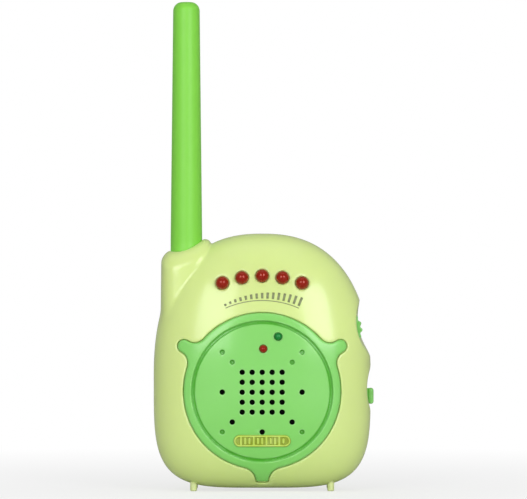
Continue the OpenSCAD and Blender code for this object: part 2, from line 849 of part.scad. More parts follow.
module clip_profile() {
    offset(r = 0.6, $fn = 16) offset(delta = -0.6) union() {
        translate([back_d + 0.05, 76]) square([2.5, 12]);
        hull() {
            translate([back_d + 1.4, 86.6]) circle(r = 1.3, $fn = 20);
            translate([back_d + 5, 80]) circle(r = 1, $fn = 20);
        }
        hull() {
            translate([back_d + 5, 80]) circle(r = 1, $fn = 20);
            translate([back_d + 4.7, 54]) circle(r = 1, $fn = 20);
        }
        hull() {
            translate([back_d + 4.7, 54]) circle(r = 1, $fn = 20);
            translate([back_d + 6, 50]) circle(r = 1, $fn = 20);
        }
        translate([back_d + 3.9, 56]) circle(r = 1.3, $fn = 24);
    }
}

module belt_clip() color(pale_green)
    difference() {
        translate([-9, 0, 0]) rotate([90, 0, 90]) linear_extrude(height = 18) clip_profile();
        for (p = clip_screw_at) {
            rod(p[0], p[1], 1.4, back_d - 1, back_d + 4);
            rod(p[0], p[1], 2.3, back_d + 1.5, back_d + 9);
        }
    }

module clip_screws() color(steel)
    for (p = clip_screw_at) pan_screw(p, 2.1, 1, 1.2, back_d + 1.52, 16.5);

module case_screws() color(steel)
    for (p = case_screw_at) pan_screw(p, 2.4, 1.6, 1.25, post_floor_y + 0.02, -8);

module feet() color(foot_green)
    for (x = [-foot_x, foot_x], y = foot_ys)
        translate([x, y, 0]) {
            cylinder(r1 = foot_r - 0.4, r2 = foot_r, h = 0.4);
            translate([0, 0, 0.4]) cylinder(r = foot_r, h = foot_h - 0.4);
        }

// ---------- What is drawn ----------

front_shell();
rear_shell();
speaker_cover();
cover_badge();
battery_door();
belt_clip();
feet();
case_screws();
clip_screws();
antenna_sleeve();
antenna_coil();
antenna_ferrule();
antenna_lead();
dust_screen();
speaker_frame();
speaker_cone();
speaker_magnet();
speaker_clamps();
speaker_screws();
speaker_leads();
main_board();
board_screws();
audio_chip();
radio_chip();
crystal();
capacitors();
tuning_coils();
for (k = [1:5])
    level_led(k - 3);
power_led();
link_led();
led_legs();
volume_wheel();
wheel_screw();
pot_shaft();
volume_pot();
slide_knob();
switch_lever();
slide_switch();
battery();
battery_snap();
battery_leads();
dc_jack();
dc_pin();
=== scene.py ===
"""Toy walkie talkie, receiver unit: moulded shells, speaker cover, lamps and controls over the CAD frame.

Moulded pieces are made as signed distance fields in millimetres, on grids in the frame's own axes,
and cut out as closed meshes. Their sizes come from the boxes of the CAD nodes.
"""

import functools
import json
import math

import bmesh
import bpy
import numpy as np
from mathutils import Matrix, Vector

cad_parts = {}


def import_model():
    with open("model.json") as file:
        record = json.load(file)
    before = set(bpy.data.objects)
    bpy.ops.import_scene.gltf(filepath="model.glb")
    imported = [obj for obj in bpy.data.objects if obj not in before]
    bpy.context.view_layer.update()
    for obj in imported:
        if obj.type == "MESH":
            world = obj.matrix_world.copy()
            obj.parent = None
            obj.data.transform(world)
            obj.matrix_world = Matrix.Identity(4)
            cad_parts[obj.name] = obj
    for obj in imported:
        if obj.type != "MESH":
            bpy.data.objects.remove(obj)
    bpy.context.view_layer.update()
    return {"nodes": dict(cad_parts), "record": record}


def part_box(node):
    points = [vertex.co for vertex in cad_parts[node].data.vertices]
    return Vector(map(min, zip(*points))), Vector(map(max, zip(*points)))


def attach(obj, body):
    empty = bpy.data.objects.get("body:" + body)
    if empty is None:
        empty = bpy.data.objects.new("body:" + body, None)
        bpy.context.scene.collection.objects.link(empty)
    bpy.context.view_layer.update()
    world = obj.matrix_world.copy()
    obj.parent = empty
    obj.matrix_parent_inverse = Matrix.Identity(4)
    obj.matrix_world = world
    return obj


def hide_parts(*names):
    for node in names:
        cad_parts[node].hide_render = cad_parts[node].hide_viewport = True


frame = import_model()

import openvdb as vdb
from mathutils import Vector

MM = 0.001


def box(node):
    """A CAD node's lowest and highest corner in millimetres."""
    lo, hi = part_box(node)
    return np.array(lo) / MM, np.array(hi) / MM


# ---------- Sizes in millimetres, from the CAD frame ----------

# Casing: half width, heights of crown, underside and widest level, depths, superellipse powers
FRONT_LO, FRONT_HI = box("front_shell")
HALF_W, CROWN, KEEL, BELT = FRONT_HI[0], FRONT_HI[2], FRONT_LO[2], 43.0
BACK = box("rear_shell")[1][1]
BACK_BULGE = BACK / 0.788
FRONT_D = 20.0
CROWN_N, KEEL_N, FRONT_N, BACK_N = 2.4, 4.2, 2.4, 3.5
WALL = 2.0

# Antenna and its socket; the socket's lid slopes across X and is crowned along Y
ANT_LO, ANT_HI = box("antenna_sleeve")
ANT_X = (ANT_LO[0] + ANT_HI[0]) / 2
ANT_TOP = ANT_HI[2]
ANT_R, ANT_TIP_R, ANT_TIP_ROUND = 6.0, 5.05, 3.3
SOCKET_TOP, SOCKET_SLOPE, SOCKET_CROWN = 93.35, 0.34, 0.045
SOCKET_EDGE, SOCKET_DEEPEN = 3.4, 0.8
SOCKET_FOOT = 46.0
FERRULE_TOP = 79.0

# Speaker cover: ring, sunk disc, groove, lugs as (angle, reach), sound holes
COVER_Z, COVER_R = 38.2, 29.6
STEP_R = 26.6
OPENING_R = 26.0
SEAT = 1.2
RING_PROUD = 0.4
DISC_SUNK = 0.3
DISC_REAR = 1.7
CHANNEL_R, CHANNEL_HALF, CHANNEL_DEEP = 25.95, 0.62, 0.42
LUGS = ((30, 34.0), (150, 34.0))
LOW_LUG_REACH = 34.6
PITCH = 3.75
GRID_Z = COVER_Z - 0.2
HOLE_R = 1.0
DIMPLE_R, DIMPLE_DEEP = 0.9, 0.9
OUTER_HOLES = ((-4, 0), (4, 0), (-3, -3), (3, -3), (0, -4))
DIMPLES = ((-4, 4), (4, 4), (-3, 3), (3, 3), (-4, -4), (4, -4))

# Dishes in the right side: centre, radius, stretch along Y
WHEEL_DISH = ((53.5, -3.0, 64.6), 18.0, 3.0)
KNOB_DISH = ((60.3, -2.0, 38.9), 20.6, 3.5)

# Lamps and screws
LAMP_ARC, LAMP_STEP = 43.5, 10.1
LAMP_HOLE_R, SMALL_LAMP_HOLE_R = 2.53, 1.56
CASE_SCREWS = ((-32.5, 20), (32.5, 20), (-18.5, 85), (18.5, 85))
CLIP_SCREWS = ((-5.5, 82), (5.5, 82))

# ---------- Distance fields ----------


class Field:
    """A box of sample points in millimetres."""

    def __init__(self, lo, hi, step):
        self.lo = np.array(lo, float)
        self.step = step
        self.count = [int(math.ceil((b - a) / step)) + 1 for a, b in zip(lo, hi)]
        axes = [np.float32(a + step * np.arange(n)) for a, n in zip(lo, self.count)]
        self.x, self.y, self.z = np.ix_(*axes)


def rmax(a, b, r):
    """Overlap of two solids, with an edge of radius r."""
    return np.minimum(-r, np.maximum(a, b)) + np.hypot(np.maximum(a + r, 0), np.maximum(b + r, 0))


def rmin(a, b, r):
    """Union of two solids, with a fillet of radius r."""
    return np.maximum(r, np.minimum(a, b)) - np.hypot(np.maximum(r - a, 0), np.maximum(r - b, 0))


def cut(a, b, r):
    """Solid a without solid b, with an edge of radius r."""
    return rmax(a, -b, r)


def ball(f, c, r):
    """A ball at c."""
    return np.sqrt((f.x - c[0]) ** 2 + (f.y - c[1]) ** 2 + (f.z - c[2]) ** 2) - r


def rod(f, x, z, r):
    """An endless cylinder along Y."""
    return np.hypot(f.x - x, f.z - z) - r


def block(f, lo, hi, r=0.0):
    """A box, with every edge of radius r."""
    c = [(a + b) / 2 for a, b in zip(lo, hi)]
    h = [(b - a) / 2 - r for a, b in zip(lo, hi)]
    q = [abs(p - m) - s for p, m, s in zip((f.x, f.y, f.z), c, h)]
    out = np.sqrt(sum(np.maximum(v, 0) ** 2 for v in q))
    return out + np.minimum(np.maximum(np.maximum(q[0], q[1]), q[2]), 0) - r


def casing(f, inset=0.0):
    """The casing's two swelling halves as one field; inset moves every side in."""
    up = f.z >= BELT
    a = HALF_W - inset
    b = np.where(up, CROWN - BELT, BELT - KEEL) - inset
    n = np.where(up, CROWN_N, KEEL_N)
    share = (np.abs(f.x) / a) ** n + (np.abs(f.z - BELT) / b) ** n
    share = np.maximum(share, 1e-9) ** (1 / n)
    front = f.y < 0
    d = np.where(front, FRONT_D, BACK_BULGE) - inset
    m = np.where(front, FRONT_N, BACK_N)
    gauge = (share**m + (np.abs(f.y) / d) ** m) ** (1 / m)
    gauge = gauge.astype(np.float32)
    slope = np.sqrt(sum(g**2 for g in np.gradient(gauge, f.step)))
    field = (gauge - 1) / np.maximum(slope, 0.5 / HALF_W)
    return rmax(field, f.y - (BACK - inset), 1.6)


def socket(f):
    """The antenna's column beside the dome."""
    radius = 10.0 - 0.5 * (f.z - SOCKET_FOOT) / 47.0
    across = np.abs(f.y) * radius / (radius + SOCKET_DEEPEN)
    side = (np.abs(f.x - ANT_X) ** 3 + across**3) ** (1 / 3) - radius
    top = SOCKET_TOP + SOCKET_SLOPE * (f.x - ANT_X) - SOCKET_CROWN * f.y**2
    lid = (f.z - top) / math.sqrt(1 + SOCKET_SLOPE**2)
    return rmax(rmax(side, lid, SOCKET_EDGE), SOCKET_FOOT - f.z, 1.0)


def dish(f, centre, r, stretch):
    """A ball drawn out along Y; its gradient is evened out so that the field stays a distance."""
    x, y, z = f.x - centre[0], (f.y - centre[1]) / stretch, f.z - centre[2]
    q = np.sqrt(x**2 + y**2 + z**2)
    slope = np.sqrt(x**2 + (y / stretch) ** 2 + z**2) / np.maximum(q, 1e-6)
    return (q - r) / np.maximum(slope, 0.2)


def dishes(f, extra=0.0):
    """Both dishes of the right side, grown by extra."""
    wheel = dish(f, WHEEL_DISH[0], WHEEL_DISH[1] + extra, WHEEL_DISH[2])
    return np.minimum(wheel, dish(f, KNOB_DISH[0], KNOB_DISH[1] + extra, KNOB_DISH[2]))


def lug(f, angle, reach):
    """A tapered arm from the ring's centre line out to reach, in X and Z."""
    t = math.radians(angle)
    ux, uz = math.cos(t), math.sin(t)
    along = f.x * ux + (f.z - COVER_Z) * uz
    across = np.abs(-f.x * uz + (f.z - COVER_Z) * ux)
    inner = COVER_R - 3
    k = np.clip((along - inner) / (reach - inner), 0, 1)
    return np.hypot(along - (inner + k * (reach - inner)), across) - (2.75 - 0.35 * k)


def low_lug(f):
    """The bottom arm, which narrows to a squarish end."""
    down = COVER_Z - f.z
    k = np.clip((down - COVER_R + 3) / (LOW_LUG_REACH - COVER_R + 3), 0, 1)
    return rmax(rmax(np.abs(f.x) - 3.4 + 1.15 * k, down - LOW_LUG_REACH, 0.9), COVER_R - 6 - down, 0.5)


def cover_outline(f):
    """The cover's outline in X and Z: the ring and its three lugs."""
    d = np.hypot(f.x, f.z - COVER_Z) - COVER_R
    for angle, reach in LUGS:
        d = rmin(d, lug(f, angle, reach), 3.6)
    return rmin(d, low_lug(f), 3.6)


def lamp_at(k):
    """X and Z of the level lamp k places from the middle one."""
    t = math.radians(k * LAMP_STEP)
    return LAMP_ARC * math.sin(t), COVER_Z + LAMP_ARC * math.cos(t)


# ---------- Meshes from fields ----------


def sample(f, values, points):
    """Trilinear values of a grid at points in millimetres."""
    p = (points - f.lo) / f.step
    i = np.clip(p.astype(int), 0, np.array(values.shape) - 2)
    t = p - i
    out = 0
    for dx in (0, 1):
        for dy in (0, 1):
            for dz in (0, 1):
                w = (
                    (t[:, 0] if dx else 1 - t[:, 0])
                    * (t[:, 1] if dy else 1 - t[:, 1])
                    * (t[:, 2] if dz else 1 - t[:, 2])
                )
                out = out + w * values[i[:, 0] + dx, i[:, 1] + dy, i[:, 2] + dz]
    return out


def mesh_object(name, verts, faces):
    """A smooth-shaded object of points in metres."""
    me = bpy.data.meshes.new(name)
    me.from_pydata([tuple(v) for v in verts], [], [tuple(int(i) for i in q) for q in faces])
    me.validate()
    me.update()
    for p in me.polygons:
        p.use_smooth = True
    ob = bpy.data.objects.new(name, me)
    bpy.context.scene.collection.objects.link(ob)
    return ob


def mark(me, name, values):
    """Numbers from 0 to 1 kept at a mesh's vertices, for its material."""
    kept = me.attributes.new(name, "FLOAT", "POINT")
    kept.data.foreach_set("value", np.clip(values, 0, 1).astype(np.float32))


def carve(name, f, values, faces_kept, recess_shade_mask=None):
    """The closed surface where a field is zero, thinned to about faces_kept triangles.

    Its vertices carry how sharp the edge is there, and, if there is one, the mask for painted shade in
    recesses.
    """
    values = np.array(np.broadcast_to(values, f.count), np.float32)
    for axis in range(3):
        for end in (0, -1):
            where = [slice(None)] * 3
            where[axis] = end
            values[tuple(where)] = np.maximum(values[tuple(where)], 0.2 * f.step)
    grid = vdb.FloatGrid(2.0)
    grid.copyFromArray(values)
    points, quads = grid.convertToQuads(isovalue=0.0)
    points = f.lo + np.asarray(points, float) * f.step
    quads = np.asarray(quads)
    me = bpy.data.meshes.new(name)
    me.vertices.add(len(points))
    me.vertices.foreach_set("co", (points * MM).astype(np.float32).ravel())
    me.loops.add(quads.size)
    me.loops.foreach_set("vertex_index", quads.ravel().astype(np.int32))
    me.polygons.add(len(quads))
    me.polygons.foreach_set("loop_start", np.arange(0, quads.size, 4, dtype=np.int32))
    me.update(calc_edges=True)
    me.validate()
    ob = bpy.data.objects.new(name, me)
    bpy.context.scene.collection.objects.link(ob)
    if 2 * len(quads) > faces_kept:
        thin = ob.modifiers.new("thin", "DECIMATE")
        thin.ratio = faces_kept / (2 * len(quads))
        dg = bpy.context.evaluated_depsgraph_get()
        done = bpy.data.meshes.new_from_object(ob.evaluated_get(dg))
        ob.modifiers.clear()
        ob.data = done
        bpy.data.meshes.remove(me)
        me = done
    slope = np.gradient(values, f.step)
    co = np.zeros(len(me.vertices) * 3, np.float32)
    me.vertices.foreach_get("co", co)
    co = co.reshape(-1, 3).astype(float) / MM
    for _ in range(2):
        n = np.stack([sample(f, g, co) for g in slope], 1)
        size = np.maximum((n**2).sum(1), 0.05)
        step = sample(f, values, co) / size
        co -= n * np.clip(step, -0.3 * f.step, 0.3 * f.step)[:, None]
    n = np.stack([sample(f, g, co) for g in slope], 1)
    n /= np.maximum(np.linalg.norm(n, axis=1), 1e-6)[:, None]
    me.vertices.foreach_set("co", (co * MM).astype(np.float32).ravel())
    bend = sum(np.gradient(g, f.step, axis=axis) for axis, g in enumerate(slope))
    mark(me, "rubbed", sample(f, bend, co) - 0.5)
    # The recess mask is kept for painting shade into recesses.
    if recess_shade_mask is not None:
        mark(me, "recess_shade_mask", sample(f, np.broadcast_to(recess_shade_mask, f.count), co))
    me.polygons.foreach_set("use_smooth", np.ones(len(me.polygons), bool))
    me.update()
    me.normals_split_custom_set_from_vertices([tuple(v) for v in n])
    return ob


def lathe(name, profile, steps, at, forward=False):
    """A closed turned piece about Z, or about -Y for forward.

    The profile is (radius, height) in millimetres, from one pole to the other.
    """
    verts, faces = [], []
    rings = []
    for r, h in profile:
        if r < 1e-6:
            rings.append([len(verts)])
            verts.append((0.0, 0.0, h))
        else:
            ring = []
            for i in range(steps):
                t = 2 * math.pi * i / steps
                ring.append(len(verts))
                verts.append((r * math.cos(t), r * math.sin(t), h))
            rings.append(ring)
    for a, b in zip(rings, rings[1:]):
        for i in range(steps):
            j = (i + 1) % steps
            if len(a) == 1:
                faces.append((a[0], b[j], b[i]))
            elif len(b) == 1:
                faces.append((a[i], a[j], b[0]))
            else:
                faces.append((a[i], a[j], b[j], b[i]))
    verts = np.array(verts)
    if forward:
        verts = np.stack([verts[:, 0], -verts[:, 2], verts[:, 1]], 1)
    verts = (verts + np.array(at)) * MM
    return mesh_object(name, verts, faces)


def finish(ob, body, slot_name, material, *nodes):
    """Gives a piece its material and its body, and hides the CAD nodes that it stands in for; the slot
    name is not used.
    """
    ob.data.materials.clear()
    ob.data.materials.append(material)
    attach(ob, body)
    if nodes:
        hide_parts(*nodes)
    return ob


# ---------- Materials ----------


class Nodes:
    """A material's node tree, built by name."""

    def __init__(self, name):
        self.mat = bpy.data.materials.new(name)
        self.mat.use_nodes = True
        self.tree = self.mat.node_tree
        self.bsdf = self.tree.nodes["Principled BSDF"]
        self.coord = self.add("ShaderNodeTexCoord").outputs["Object"]

    def add(self, kind, **values):
        node = self.tree.nodes.new(kind)
        for key, value in values.items():
            setattr(node, key, value)
        return node

    def link(self, a, b):
        self.tree.links.new(a, b)

    def noise(self, scale, detail=2.0, rough=0.5, stretch=None):
        n = self.add("ShaderNodeTexNoise")
        n.inputs["Scale"].default_value = scale
        n.inputs["Detail"].default_value = detail
        n.inputs["Roughness"].default_value = rough
        source = self.coord
        if stretch:
            m = self.add("ShaderNodeMapping")
            m.inputs["Scale"].default_value = stretch
            self.link(source, m.inputs["Vector"])
            source = m.outputs["Vector"]
        self.link(source, n.inputs["Vector"])
        return n.outputs["Fac"]

    def ramp(self, fac, low, high, a=0.0, b=1.0):
        n = self.add("ShaderNodeMapRange")
        n.inputs["From Min"].default_value = low
        n.inputs["From Max"].default_value = high
        n.inputs["To Min"].default_value = a
        n.inputs["To Max"].default_value = b
        self.link(fac, n.inputs["Value"])
        return n.outputs["Result"]

    def mix(self, fac, a, b):
        n = self.add("ShaderNodeMix", data_type="RGBA")
        if isinstance(fac, float):
            n.inputs[0].default_value = fac
        else:
            self.link(fac, n.inputs[0])
        for value, socket in ((a, n.inputs[6]), (b, n.inputs[7])):
            if isinstance(value, tuple):
                socket.default_value = (*value, 1.0)
            else:
                self.link(value, socket)
        return n.outputs[2]

    def math(self, kind, a, b):
        n = self.add("ShaderNodeMath", operation=kind)
        for value, socket in ((a, n.inputs[0]), (b, n.inputs[1])):
            if isinstance(value, float):
                socket.default_value = value
            else:
                self.link(value, socket)
        return n.outputs[0]

    def wear(self, carved):
        """1 on sharp outer edges, 0 elsewhere; a carved piece carries its own measure of them."""
        if carved:
            return self.add("ShaderNodeAttribute", attribute_name="rubbed").outputs["Fac"]
        return self.ramp(self.add("ShaderNodeNewGeometry").outputs["Pointiness"], 0.53, 0.62)

    def bump(self, height, depth_mm, strength=1.0, under=None):
        n = self.add("ShaderNodeBump")
        n.inputs["Strength"].default_value = strength
        n.inputs["Distance"].default_value = depth_mm * MM
        self.link(height, n.inputs["Height"])
        if under is not None:
            self.link(under, n.inputs["Normal"])
        return n.outputs["Normal"]

    def set(self, name, value):
        socket = self.bsdf.inputs[name]
        if isinstance(value, (int, float)):
            socket.default_value = value
        elif isinstance(value, tuple):
            colour = len(value) == 3 and name != "Subsurface Radius"
            socket.default_value = (*value, 1.0) if colour else value
        else:
            self.link(value, socket)


def linear(r, g, b):
    """Linear colour of an sRGB one given from 0 to 255."""
    return tuple(
        (c / 255) / 12.92 if c / 255 <= 0.04045 else ((c / 255 + 0.055) / 1.055) ** 2.4 for c in (r, g, b)
    )


def scaled(colour, k):
    return tuple(c * k for c in colour)


def plastic(
    name, colour, rough=0.3, soft=0.0, coat=0.0, grain=0.006, worn=0.25, carved=False, recess_shade_colour=None
):
    """Moulded plastic: cloudy tint, fine orange peel, scuffs, edges rubbed paler, painted shade that
    darkens recesses.
    """
    n = Nodes(name)
    cloud = n.ramp(n.noise(38, 3, 0.55), 0.3, 0.7)
    tint = n.mix(cloud, scaled(colour, 0.985), scaled(colour, 1.015))
    # Painted shade: where the recess mask is high, the colour turns to the darker recess colour.
    if recess_shade_colour:
        tint = n.mix(n.add("ShaderNodeAttribute", attribute_name="recess_shade_mask").outputs["Fac"], tint, recess_shade_colour)
    speck = n.ramp(n.noise(900, 2, 0.6), 0.62, 0.78)
    tint = n.mix(n.math("MULTIPLY", speck, 0.05), tint, scaled(colour, 0.75))
    edge = n.math("MULTIPLY", n.wear(carved), n.ramp(n.noise(170, 3), 0.35, 0.65))
    pale = tuple(min(1.0, 0.25 + 0.8 * c) for c in colour)
    n.set("Base Color", n.mix(n.math("MULTIPLY", edge, worn), tint, pale))
    scuff = n.ramp(n.noise(130, 4, 0.6, stretch=(1.0, 1.0, 9.0)), 0.55, 0.8)
    smear = n.ramp(n.noise(60, 4, 0.6), 0.3, 0.7, rough - 0.02, rough + 0.025)
    rub = n.math("ADD", smear, n.math("MULTIPLY", scuff, 0.01))
    n.set("Roughness", n.math("ADD", rub, n.math("MULTIPLY", edge, 0.12)))
    n.set("IOR", 1.5)
    peel = n.bump(n.noise(420, 2), grain * 5 / 3, 0.35)
    n.set("Normal", n.bump(n.noise(3200, 2, 0.6), grain, 0.6, peel))
    n.set("Coat Weight", coat)
    n.set("Coat Roughness", 0.08)
    if soft:
        n.set("Subsurface Weight", soft)
        n.set("Subsurface Radius", (0.9, 1.0, 0.45))
        n.set("Subsurface Scale", 0.0009)
    return n.mat


def metal(name, colour, rough=0.3, brushed=(1.0, 1.0, 1.0), dull=0.0):
    """Plated or drawn metal: brushing, smudges, small pits."""
    n = Nodes(name)
    smudge = n.ramp(n.noise(220, 4, 0.6), 0.3, 0.7)
    n.set("Base Color", n.mix(smudge, scaled(colour, 0.82), colour))
    n.set("Metallic", 1.0 - dull)
    n.set("Roughness", n.ramp(n.noise(500, 3), 0.3, 0.7, rough - 0.06, rough + 0.1))
    n.set("Normal", n.bump(n.noise(1800, 3, 0.6, stretch=brushed), 0.01, 0.5))
    return n.mat


def lens(name, colour, deep, sheen):
    """Clear-dyed lamp resin over its cup, glossy outside; towards the rim a second colour is painted in
    for light and shade in the resin.
    """
    n = Nodes(name)
    # Painted light: facing the camera the lens keeps its colour, towards the rim it turns to the second
    # colour, standing in for light through the resin.
    facing = n.add("ShaderNodeLayerWeight")
    facing.inputs["Blend"].default_value = 0.35
    swirl = n.ramp(n.noise(700, 2), 0.3, 0.7, 0.0, 0.15)
    n.set("Base Color", n.mix(n.math("ADD", facing.outputs["Facing"], swirl), colour, deep))
    n.set("Roughness", n.ramp(n.noise(900, 2), 0.3, 0.7, 0.05, 0.1))
    n.set("IOR", 1.75)
    n.set("Specular Tint", sheen)
    n.set("Normal", n.bump(n.noise(1500, 2), 0.003, 0.3))
    return n.mat


PALE = linear(216, 235, 148)
LEAF = linear(136, 216, 108)
ANTENNA = linear(132, 216, 70)

MAT = {
    "pale_plastic": plastic("pale_plastic", PALE, rough=0.23, soft=0.22, coat=0.25, carved=True),
    "leaf_plastic": plastic("leaf_plastic", LEAF, rough=0.2, soft=0.12, coat=0.2, carved=True),
    # The cover's and the badge's recess colours are painted shade for their hollows.
    "cover_plastic": plastic(
        "cover_plastic",
        LEAF,
        rough=0.2,
        soft=0.12,
        coat=0.2,
        carved=True,
        recess_shade_colour=linear(78, 168, 44),
    ),
    "badge_plastic": plastic(
        "badge_plastic", linear(200, 226, 88), rough=0.33, worn=0.4, carved=True, recess_shade_colour=linear(148, 166, 30)
    ),
    "foot_plastic": plastic("foot_plastic", linear(216, 228, 160), rough=0.32, soft=0.3, carved=True),
    "antenna_rubber": plastic("antenna_rubber", ANTENNA, rough=0.42, soft=0.1, grain=0.012, worn=0.1),
    # Each lens's second colour is painted at its rim for light and shade in the resin: a lighter orange on
    # the red lamps, a darker green on the green one.
    "red_lens": lens("red_lens", linear(142, 10, 0), linear(150, 52, 4), (1.0, 0.42, 0.36)),
    "green_lens": lens("green_lens", linear(2, 128, 44), linear(0, 90, 30), (0.45, 1.0, 0.6)),
    "black_plastic": plastic("black_plastic", linear(26, 26, 28), rough=0.45, worn=0.12),
    "capacitor_sleeve": plastic("capacitor_sleeve", linear(32, 40, 100), rough=0.3),
    "battery_jacket": metal("battery_jacket", linear(70, 76, 88), 0.35, dull=0.6),
    "lead_red": plastic("lead_red", linear(170, 24, 18), rough=0.4),
    "lead_black": plastic("lead_black", linear(24, 24, 25), rough=0.4),
    "wire_steel": metal("wire_steel", (0.62, 0.63, 0.65), 0.25, (1.0, 1.0, 6.0)),
    "steel": metal("steel", (0.6, 0.61, 0.63), 0.28, (6.0, 1.0, 1.0)),
    "can_steel": metal("can_steel", (0.66, 0.67, 0.68), 0.34, (1.0, 1.0, 8.0)),
    "brass": metal("brass", (0.72, 0.5, 0.2), 0.25),
    "magnet_iron": metal("magnet_iron", (0.1, 0.1, 0.105), 0.55, dull=0.5),
}


def cloth():
    """Black felt scrim: crossed threads, fuzz."""
    n = Nodes("screen_cloth")
    waves = []
    for axis in ("X", "Z"):
        w = n.add("ShaderNodeTexWave", bands_direction=axis)
        w.inputs["Scale"].default_value = 900
        w.inputs["Distortion"].default_value = 0.6
        n.link(n.coord, w.inputs["Vector"])
        waves.append(w.outputs["Fac"])
    weave = n.math("MULTIPLY", waves[0], waves[1])
    n.set("Base Color", n.mix(weave, linear(8, 8, 9), linear(26, 27, 28)))
    n.set("Roughness", n.ramp(n.noise(800), 0.3, 0.7, 0.85, 0.95))
    n.set("Normal", n.bump(weave, 0.1, 0.8))
    return n.mat


def cone_paper():
    """Pressed pulp: fibres and a faint sheen."""
    n = Nodes("cone_paper")
    fibre = n.noise(600, 5, 0.7, stretch=(1.0, 1.0, 4.0))
    n.set("Base Color", n.mix(n.ramp(fibre, 0.35, 0.65), linear(38, 38, 40), linear(62, 62, 64)))
    n.set("Roughness", n.ramp(fibre, 0.3, 0.7, 0.7, 0.85))
    n.set("Normal", n.bump(fibre, 0.05, 0.7))
    return n.mat


def board():
    """Phenolic board: paper grain, pale tracks under the lacquer."""
    n = Nodes("board")
    grain = n.noise(260, 5, 0.6, stretch=(6.0, 1.0, 1.0))
    brick = n.add("ShaderNodeTexVoronoi", feature="DISTANCE_TO_EDGE")
    brick.inputs["Scale"].default_value = 210
    n.link(n.coord, brick.inputs["Vector"])
    track = n.ramp(brick.outputs["Distance"], 0.1, 0.13)
    base = n.mix(n.ramp(grain, 0.3, 0.7), linear(150, 112, 58), linear(182, 142, 82))
    n.set("Base Color", n.mix(n.math("MULTIPLY", track, 0.35), base, linear(120, 92, 40)))
    n.set("Roughness", n.ramp(grain, 0.3, 0.7, 0.35, 0.55))
    n.set("Normal", n.bump(track, 0.03, 0.6))
    return n.mat


MAT["screen_cloth"] = cloth()
MAT["cone_paper"] = cone_paper()
MAT["board"] = board()

SLOT_OF = {s["node"]: s["material_slot"] for s in frame["record"]["subparts"]}
for node, ob in frame["nodes"].items():
    ob.data.materials.clear()
    ob.data.materials.append(MAT[SLOT_OF[node]])

# ---------- Shells ----------

SHELL_STEP = 0.42
MARGIN = 1.6
EDGE = 0.35


def shell_field(low_y, high_y):
    """The sample points of a shell between two depths."""
    lo = (-HALF_W - MARGIN, low_y - MARGIN, KEEL - MARGIN)
    hi = (HALF_W + MARGIN, high_y + MARGIN, CROWN + MARGIN)
    return Field(lo, hi, SHELL_STEP)


def hollow(f):
    """The space inside both shells, with the walls of the dishes left standing."""
    space = casing(f, WALL)
    space = cut(space, dishes(f, WALL), 0.6)
    chamber = rmax(np.hypot(f.x - ANT_X, f.y) - 7.8, np.abs(f.z - 66.3) - 14.3, 0.3)
    return np.minimum(space, chamber)


def antenna_bore(f):
    """The antenna's way out of its socket."""
    return rmax(np.hypot(f.x - ANT_X, f.y) - (ANT_R + 0.15), FERRULE_TOP - f.z, 0.1)


def joined(fields):
    """The union of several solids."""
    return functools.reduce(np.minimum, fields)


def screw_posts(f, spots, radius, low, high):
    """Cylinders along Y from low to high, one at each spot."""
    posts = joined(rod(f, x, z, radius) for x, z in spots)
    return np.maximum(posts, np.maximum(low - f.y, f.y - high))


def outer_skin(f):
    """The casing with its antenna socket and dishes, before it is halved."""
    body = rmin(casing(f), socket(f), 0.45)
    return cut(body, dishes(f), 0.5)


def front_shell():
    """The domed front half, with the seat and opening of the speaker cover and the lamp holes."""
    f = shell_field(-FRONT_D, 3.0)
    plain = casing(f)
    skin = outer_skin(f)
    outline = cover_outline(f)
    flange = rmax(outline - 2.4, -(plain + 2.6), 0.2)
    inside = cut(hollow(f), flange, 0.3)
    solid = cut(rmax(skin, f.y, EDGE), inside, 0.25)
    posts = screw_posts(f, CASE_SCREWS, 3.0, -FRONT_D, 2.5)
    posts = cut(posts, screw_posts(f, CASE_SCREWS, 1.35, -9.0, 5.0), 0.1)
    solid = np.minimum(solid, np.maximum(posts, plain + 1.0))
    seat = rmax(outline - 0.22, -(plain + SEAT), 0.15)
    solid = cut(solid, seat, 0.3)
    solid = cut(solid, rmax(np.hypot(f.x, f.z - COVER_Z) - OPENING_R, f.y + 5.0, 0.3), 0.2)
    for k in range(-2, 3):
        x, z = lamp_at(k)
        solid = cut(solid, rmax(rod(f, x, z, LAMP_HOLE_R), f.y + 5.0, 0.2), 0.15)
    solid = cut(solid, antenna_bore(f), 0.3)
    solid = np.maximum(solid, -foot_holes(f))
    return carve("front_shell_moulding", f, solid, 90000)


FOOT_R = 1.3


def foot_rods(f, r):
    """Four upright pegs of radius r at the feet."""
    lo, hi = box("feet")
    middle, half = (lo[1] + hi[1]) / 2, (hi[1] - lo[1]) / 2 - FOOT_R
    return np.hypot(np.abs(f.x) - hi[0] + FOOT_R, np.abs(f.y - middle) - half) - r


def foot_holes(f):
    """The sockets that the pegs stand in."""
    return np.maximum(foot_rods(f, FOOT_R + 0.1), f.z - box("feet")[1][2])


DOOR_LO, DOOR_HI = box("battery_door")
PIN_REACH = 1.4
DOOR_GAP = 0.2


